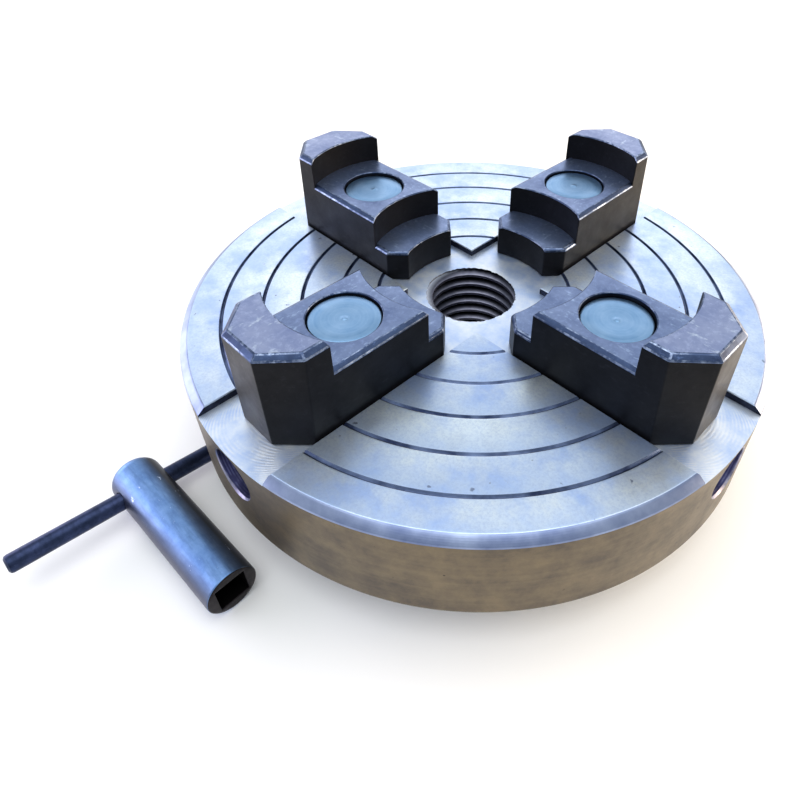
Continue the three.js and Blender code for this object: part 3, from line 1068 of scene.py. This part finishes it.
def lead_screw(number, finishes):
    """A screw about Z: journal, left-hand thread, collar, neck, flange and square drive, laid along X."""
    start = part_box("lead_screw_1")[0].x
    thread_start = POST_NEAREST - SLOT_WIDTH / 2 + 0.3 * MM
    thread_end = POST_FARTHEST + SLOT_WIDTH / 2 + 1.4 * MM
    neck_start = thread_end + COLLAR_LENGTH
    neck_end = neck_start + NECK_LENGTH
    flange_end = neck_end + FLANGE_LENGTH
    square_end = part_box("lead_screw_1")[1].x
    cut = SCREW_END_CHAMFER
    core = SCREW_RADIUS - SCREW_THREAD_DEPTH
    bm = bmesh.new()
    low, high = helix_faces(
        bm, SCREW_RADIUS, core, SCREW_PITCH, thread_start, thread_end, SMALL_SIDES, hand=-1
    )
    journal = [(JOURNAL_RADIUS, thread_start), (JOURNAL_RADIUS, start + cut), (JOURNAL_RADIUS - cut, start)]
    shoulder = [
        (COLLAR_RADIUS, thread_end),
        (COLLAR_RADIUS, neck_start),
        (NECK_RADIUS, neck_start),
        (NECK_RADIUS, neck_end),
        (COLLAR_RADIUS, neck_end),
        (COLLAR_RADIUS, flange_end - cut),
        (COLLAR_RADIUS - cut, flange_end),
    ]
    for thread_ring, section in ((low, journal), (high, shoulder)):
        tube(bm, [thread_ring] + [circle(radius, height, SMALL_SIDES) for radius, height in section])
    add_square(bm, DRIVE_HALF_WIDTH, flange_end - 0.2 * MM, square_end)
    clean(bm)
    piece = add_object(f"lead_screw_{number}_detail", bm, [finishes["oiled_steel"]])
    lay_along_x(piece, SCREW_HEIGHT)
    smooth(piece)
    return piece


def add_square(bm, half, low, high):
    """A square bar about Z, chamfered at its end."""
    cut = 0.5 * MM
    levels = [(half, low), (half, high - cut), (half - cut, high)]
    tube(bm, [[Vector((x, y, height)) for x, y in square_corners(size)] for size, height in levels])


def thrust_fork(number, finishes):
    low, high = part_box("thrust_fork_1")
    steel = finishes["oiled_steel"]
    name = f"thrust_fork_{number}_detail"
    piece = box(name, (low.x, high.x), (low.y, high.y), (low.z, high.z), [steel])
    mouth = FORK_MOUTH_RADIUS
    outline = [(mouth, 9 * MM), (-mouth, 9 * MM)] + arc((0, 0), mouth, 180, 360, 24)
    cutter = prism("fork_mouth", outline, low.x - 1 * MM, high.x + 1 * MM, [steel])
    stand_across_x = Matrix(((0, 0, 1, 0), (1, 0, 0, 0), (0, 1, 0, SCREW_HEIGHT), (0, 0, 0, 1)))
    cutter.data.transform(stand_across_x)
    combine(piece, cutter, "DIFFERENCE")
    soften(piece, 0.25 * MM)
    return piece


# ---- the key

def key_radius():
    low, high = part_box("key_socket")
    return (high.z - low.z) / 2


def key_head(finishes):
    """The socket head, in the key's own frame: X along the head from its domed end."""
    radius = key_radius()
    dome = [
        (radius - DOME_RADIUS + DOME_RADIUS * math.sin(turn), DOME_RADIUS * (1 - math.cos(turn)))
        for turn in (math.radians(10 * i) for i in range(10))
    ]
    profile = [(0, 0)] + dome + [
        (radius, KEY_LENGTH - 0.4 * MM),
        (radius - 0.12 * MM, KEY_LENGTH - 0.12 * MM),
        (radius - 0.4 * MM, KEY_LENGTH),
        (0, KEY_LENGTH),
    ]
    steel, inside = finishes["key_steel"], finishes["key_inside"]
    spans = [0] * (len(profile) - 3) + [1, 1]
    head = lay_along_x(lathe("key_socket_detail", profile, LARGE_SIDES, [steel, inside], spans))
    half = KEY_SQUARE / 2
    flare = 0.15 * MM
    square = loft(
        "square",
        [
            [(KEY_LENGTH - KEY_SOCKET_DEPTH, y, z) for y, z in square_corners(half)],
            [(KEY_LENGTH - flare, y, z) for y, z in square_corners(half)],
            [(KEY_LENGTH + 0.2 * MM, y, z) for y, z in square_corners(half + flare)],
        ],
        [inside],
    )
    combine(head, square, "DIFFERENCE")
    reach = 12 * MM
    hole = lathe("bar_hole", rod_profile(BAR_RADIUS + 0.12 * MM, -reach, reach), SMALL_SIDES, [inside])
    hole.data.transform(bar_lean())
    combine(head, hole, "DIFFERENCE")
    soften(head, 0.15 * MM)
    return head


def key_bar(finishes):
    """The bar, in the key's own frame."""
    end = BAR_HALF_LENGTH
    profile = [
        (0, -end),
        (BAR_RADIUS - 0.7 * MM, -end),
        (BAR_RADIUS - 0.15 * MM, -end + 0.35 * MM),
        (BAR_RADIUS, -end + 0.9 * MM),
        (BAR_RADIUS, end - 0.9 * MM),
        (BAR_RADIUS - 0.15 * MM, end - 0.35 * MM),
        (BAR_RADIUS - 0.7 * MM, end),
        (0, end),
    ]
    bar = lathe("key_bar_detail", profile, SMALL_SIDES, [finishes["bar_steel"]])
    bar.data.transform(bar_lean())
    smooth(bar)
    return bar


def bar_lean():
    """Stands a rod made about Z across the head, tipped until its far end meets the table."""
    tip = math.asin((key_radius() - BAR_RADIUS) / BAR_HALF_LENGTH)
    return Matrix.Translation((BAR_OFFSET, 0, 0)) @ Matrix.Rotation(-math.pi / 2 - tip, 4, "X")


def key_place():
    """The key's own frame in the model's."""
    low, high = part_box("key_bar")
    centre = Vector(((low.x + high.x) / 2, (low.y + high.y) / 2, key_radius()))
    turned = Matrix.Translation(centre) @ Matrix.Rotation(KEY_ANGLE, 4, "Z")
    return turned @ Matrix.Translation((-BAR_OFFSET, 0, 0))


# ---- putting it together

def make_finishes():
    """Every finish, by its own name."""
    groove = [6 * MM, (0.035, 0.05, 0.11), (0.18, 0.24, 0.40)]
    # Painted shade: the channel walls are made nearly black.
    dark_wall_painted_shade = [3 * MM, (0.006, 0.008, 0.018), (0.04, 0.05, 0.09), 4.0, 0.6]
    milled = [5 * MM, (0.05, 0.05, 0.06), (0.16, 0.16, 0.19), 4.0, 0.55, 0.3]
    lip = [3 * MM, (0.15, 0.15, 0.22), (0.42, 0.42, 0.56), 4.0, 0.6]
    steel = [4 * MM, (0.20, 0.20, 0.22), (0.40, 0.40, 0.43), 5.0, 0.6, 0.3]
    # Painted light and shade for the key's sides: a grey-mauve -Y side and a dark +Y side.
    key_painted_side_tones = [(0.115, 0.120, 0.175), (0.022, 0.026, 0.036)]
    made = [
        ground_face(),
        patchy("ring_groove", 1.0, 0.4, groove, (0.4 * MM, 0.01 * MM)),
        turned_rim(),
        rim_chamfer(),
        milled_floor(),
        patchy("channel_wall", 0.8, 0.5, dark_wall_painted_shade, (0.4 * MM, 0.01 * MM)),
        spindle_thread(),
        machined_back(),
        patchy("milled_pocket", 0.9, 0.5, milled, (0.6 * MM, 0.02 * MM)),
        key_hole_wall(),
        patchy("key_hole_lip", 1.0, 0.34, lip, (0.5 * MM, 0.01 * MM)),
        # The jaws' black oxide as lit and shaded copies picked by facing: painted shade on sides, holes,
        # steps and chamfers, painted light on the tops, a painted warm reflection on the outer ends.
        oxide("oxide_side_painted_shade", (0.0034, 0.0035, 0.005), (0.0085, 0.0087, 0.011), 0.3, 0.45, 0.13),
        oxide("oxide_end_painted_warm_reflection", (0.030, 0.027, 0.026), (0.062, 0.056, 0.054), 0.8, 0.45, 0.3),
        oxide("oxide_top_painted_light", (0.20, 0.25, 0.43), (0.34, 0.39, 0.57), 0.95, 0.38),
        oxide("oxide_step_painted_shade", (0.13, 0.18, 0.33), (0.24, 0.31, 0.50), 0.95, 0.36),
        oxide("oxide_chamfer_painted_shade", (0.03, 0.045, 0.095), (0.065, 0.10, 0.20), 0.95, 0.40),
        oxide("oxide_hole_painted_shade", (0.003, 0.004, 0.008), (0.01, 0.012, 0.02), 0.3, 0.5, 0.1),
        worn_edge(),
        turned_head(),
        patchy("oiled_steel", 1.0, 0.34, steel, (0.4 * MM, 0.01 * MM)),
        blued_steel("key_steel", (0.105, 0.205, 0.44), (0.20, 0.35, 0.63), 0.8, key_painted_side_tones),
        blued_steel("key_inside", (0.014, 0.012, 0.014), (0.030, 0.026, 0.028), 0.1),
        blued_steel("bar_steel", (0.016, 0.024, 0.05), (0.042, 0.056, 0.125), 0.3),
    ]
    return {material.name: material for material in made}


def attach(piece, node, body):
    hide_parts(node)
    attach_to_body(piece, body)


def place_station(number, degrees, finishes):
    """One jaw with its post, washer and nut, and the screw and fork under it."""
    turn = Matrix.Rotation(math.radians(degrees), 4, "Z")
    low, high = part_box(f"jaw_{number}")
    reach = min(abs(c) for c in (low.x, high.x, low.y, high.y) if abs(c) > JAW_HALF_WIDTH + 1e-4)
    jaw_frame = turn @ Matrix.Translation((reach, 0, 0))
    post_frame = turn @ Matrix.Translation((reach + POST_OFFSET, 0, 0))
    jaw_body = f"jaw_{number}"
    riders = [
        (jaw, jaw_frame, "jaw", jaw_body, "black_oxide"),
        (jaw_post, post_frame, "jaw_post", jaw_body, "turned_steel"),
        (clamp_washer, post_frame, "clamp_washer", jaw_body, "plain_steel"),
        (clamp_nut, post_frame, "clamp_nut", jaw_body, "plain_steel"),
        (lead_screw, turn, "lead_screw", f"screw_{number}", "plain_steel"),
        (thrust_fork, turn, "thrust_fork", "chuck", "plain_steel"),
    ]
    for make, place, node, body, slot_name in riders:
        piece = make(number, finishes)
        piece.matrix_world = place
        attach(piece, f"{node}_{number}", body)


def build_object():
    finishes = make_finishes()
    attach(chuck_body(finishes), "chuck_body", "chuck")
    for number, degrees in JAWS.items():
        place_station(number, degrees, finishes)
    for piece, node in ((key_head(finishes), "key_socket"), (key_bar(finishes), "key_bar")):
        piece.matrix_world = key_place()
        attach(piece, node, "key")


# ---- the studio

def floor():
    finish = Finish("pale_floor", 0.0, 0.9)
    finish.colour((0.95, 0.95, 0.95))
    bm = bmesh.new()
    bmesh.ops.create_circle(bm, cap_ends=True, radius=3.0, segments=64)
    made = add_object("floor", bm, [finish.done()])
    made.location.z = -FLOOR_DROP


def soft_box(name, degrees, distance, height, size, radiance, colour):
    """A glowing rectangle aimed at the middle of the chuck's face. It isn't seen itself."""
    angle = math.radians(CAMERA_AZIMUTH + degrees)
    place = Vector((distance * math.sin(angle), -distance * math.cos(angle), height))
    data = bpy.data.lights.new(name, "AREA")
    data.shape = "RECTANGLE"
    data.size, data.size_y = size
    data.energy = radiance * math.pi * size[0] * size[1]
    data.color = colour
    made = bpy.data.objects.new(name, data)
    bpy.context.scene.collection.objects.link(made)
    made.visible_camera = False
    made.location = place
    made.rotation_mode = "QUATERNION"
    made.rotation_quaternion = (Vector((0, 0, FACE)) - place).to_track_quat("-Z", "Y")


def studio():
    world = bpy.data.worlds.new("studio")
    world.use_nodes = True
    background = world.node_tree.nodes["Background"]
    background.inputs["Color"].default_value = SKY_COLOUR
    background.inputs["Strength"].default_value = SKY_STRENGTH
    bpy.context.scene.world = world
    bpy.context.scene.view_settings.view_transform = "Standard"
    for name, box_of_light in SOFT_BOXES.items():
        soft_box(name, *box_of_light)


def camera():
    data = bpy.data.cameras.new("camera")
    data.sensor_width = 36
    data.lens = CAMERA_LENS
    data.shift_x, data.shift_y = CAMERA_SHIFT
    data.clip_start = 0.01
    made = bpy.data.objects.new("camera", data)
    bpy.context.scene.collection.objects.link(made)
    azimuth = math.radians(CAMERA_AZIMUTH)
    elevation = math.radians(CAMERA_ELEVATION)
    back = Vector((math.sin(azimuth), -math.cos(azimuth), 0)) * math.cos(elevation) + UP * math.sin(elevation)
    made.location = Vector(CAMERA_AIM) + back * CAMERA_DISTANCE
    made.rotation_mode = "QUATERNION"
    roll = Matrix.Rotation(math.radians(CAMERA_ROLL), 3, "Z").to_quaternion()
    made.rotation_quaternion = (-back).to_track_quat("-Z", "Y") @ roll
    bpy.context.scene.camera = made


build_object()
floor()
studio()
camera()
